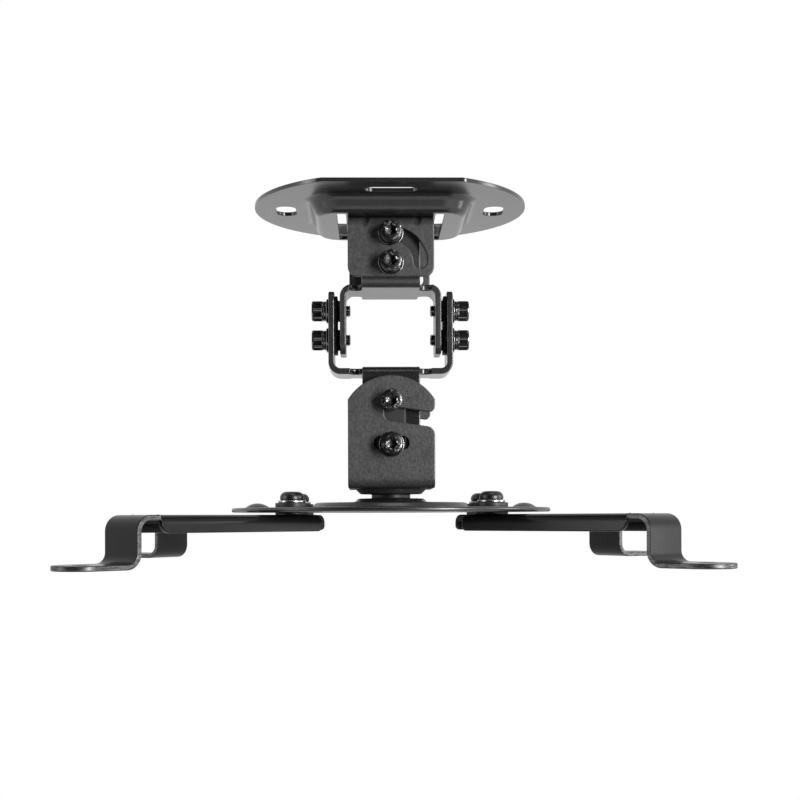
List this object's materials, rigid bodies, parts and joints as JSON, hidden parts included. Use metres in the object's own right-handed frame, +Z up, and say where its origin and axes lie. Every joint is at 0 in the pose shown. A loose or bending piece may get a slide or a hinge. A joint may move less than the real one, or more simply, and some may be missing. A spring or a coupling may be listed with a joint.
{
  "type": "projector ceiling mount",
  "caption": "Black steel projector ceiling mount: slotted ceiling plate, tilting, pitching and rolling brackets, and a swivel disc with sliding arms that screw to the projector.",
  "frame": {"origin": "middle of the ceiling plate's upper face, the face that lies against the ceiling", "axes": "+Z up into the ceiling, +X to the right and -Y to the front as the picture shows it"},
  "size_m": [0.2532, 0.184, 0.1487],
  "materials": {
    "powder_coat": "fine-textured black powder coat on folded sheet steel",
    "arm_enamel": "smooth satin black paint",
    "black_fastener": "glossy blackened steel",
    "spacer_plastic": "matte black plastic",
    "friction_plastic": "dull black plastic"
  },
  "bodies": {
    "ceiling": {"ceiling_plate": "powder_coat", "ceiling_bracket": "powder_coat"},
    "upper_yoke": {"upper_yoke": "powder_coat", "tilt_screws": "black_fastener", "tilt_spring_washers": "black_fastener", "tilt_flat_washers": "black_fastener", "tilt_spacers": "spacer_plastic", "pitch_screws": "black_fastener", "pitch_spring_washers": "black_fastener", "pitch_flat_washers": "black_fastener", "pitch_spacers": "spacer_plastic"},
    "lower_yoke": {"lower_yoke": "powder_coat", "roll_screws": "black_fastener", "roll_spring_washers": "black_fastener", "roll_flat_washers": "black_fastener", "roll_spacers": "spacer_plastic"},
    "swivel_bracket": {"swivel_bracket": "powder_coat", "swivel_bolt": "black_fastener", "swivel_nut": "black_fastener", "swivel_nut_washer": "black_fastener", "swivel_washer": "friction_plastic"},
    "swivel_disc": {"swivel_disc": "powder_coat"},
    "front_left_screw_stack": {"front_left_screw": "black_fastener", "front_left_washer": "black_fastener", "front_left_friction_washer": "friction_plastic", "front_left_lower_washer": "friction_plastic", "front_left_nut": "black_fastener"},
    "front_left_arm": {"front_left_arm": "arm_enamel"},
    "front_right_screw_stack": {"front_right_screw": "black_fastener", "front_right_washer": "black_fastener", "front_right_friction_washer": "friction_plastic", "front_right_lower_washer": "friction_plastic", "front_right_nut": "black_fastener"},
    "front_right_arm": {"front_right_arm": "arm_enamel"},
    "rear_left_screw_stack": {"rear_left_screw": "black_fastener", "rear_left_washer": "black_fastener", "rear_left_friction_washer": "friction_plastic", "rear_left_lower_washer": "friction_plastic", "rear_left_nut": "black_fastener"},
    "rear_left_arm": {"rear_left_arm": "arm_enamel"},
    "rear_right_screw_stack": {"rear_right_screw": "black_fastener", "rear_right_washer": "black_fastener", "rear_right_friction_washer": "friction_plastic", "rear_right_lower_washer": "friction_plastic", "rear_right_nut": "black_fastener"},
    "rear_right_arm": {"rear_right_arm": "arm_enamel"}
  },
  "joints": [
    {"name": "ceiling_tilt", "type": "hinge", "parent": "ceiling", "child": "upper_yoke", "pos_m": [0, 0, -0.0274], "axis": [0, 1, 0], "range_deg": [0, 45]},
    {"name": "pitch", "type": "hinge", "parent": "upper_yoke", "child": "lower_yoke", "pos_m": [0, 0, -0.0436], "axis": [1, 0, 0], "range_deg": [-20, 20]},
    {"name": "roll", "type": "hinge", "parent": "lower_yoke", "child": "swivel_bracket", "pos_m": [0, 0, -0.0831], "axis": [0, 1, 0], "range_deg": [-14, 14]},
    {"name": "swivel", "type": "hinge", "parent": "swivel_bracket", "child": "swivel_disc", "pos_m": [0, 0, -0.1183], "axis": [0, 0, 1], "continuous": true},
    {"name": "front_left_swing", "type": "hinge", "parent": "swivel_disc", "child": "front_left_screw_stack", "pos_m": [-0.0402, -0.0226, -0.129], "axis": [0, 0, 1], "range_deg": [-30, 30]},
    {"name": "front_left_slide", "type": "slide", "parent": "front_left_screw_stack", "child": "front_left_arm", "axis": [0.7133, 0.7009, 0], "range_m": [0, 0.011]},
    {"name": "front_right_swing", "type": "hinge", "parent": "swivel_disc", "child": "front_right_screw_stack", "pos_m": [0.0402, -0.0226, -0.129], "axis": [0, 0, 1], "range_deg": [-30, 30]},
    {"name": "front_right_slide", "type": "slide", "parent": "front_right_screw_stack", "child": "front_right_arm", "axis": [-0.7133, 0.7009, 0], "range_m": [0, 0.011]},
    {"name": "rear_left_swing", "type": "hinge", "parent": "swivel_disc", "child": "rear_left_screw_stack", "pos_m": [-0.0402, 0.0226, -0.129], "axis": [0, 0, 1], "range_deg": [-30, 30]},
    {"name": "rear_left_slide", "type": "slide", "parent": "rear_left_screw_stack", "child": "rear_left_arm", "axis": [0.8387, -0.5446, 0], "range_m": [0, 0.011]},
    {"name": "rear_right_swing", "type": "hinge", "parent": "swivel_disc", "child": "rear_right_screw_stack", "pos_m": [0.0402, 0.0226, -0.129], "axis": [0, 0, 1], "range_deg": [-30, 30]},
    {"name": "rear_right_slide", "type": "slide", "parent": "rear_right_screw_stack", "child": "rear_right_arm", "axis": [-0.8387, -0.5446, 0], "range_m": [0, 0.011]}
  ]
}
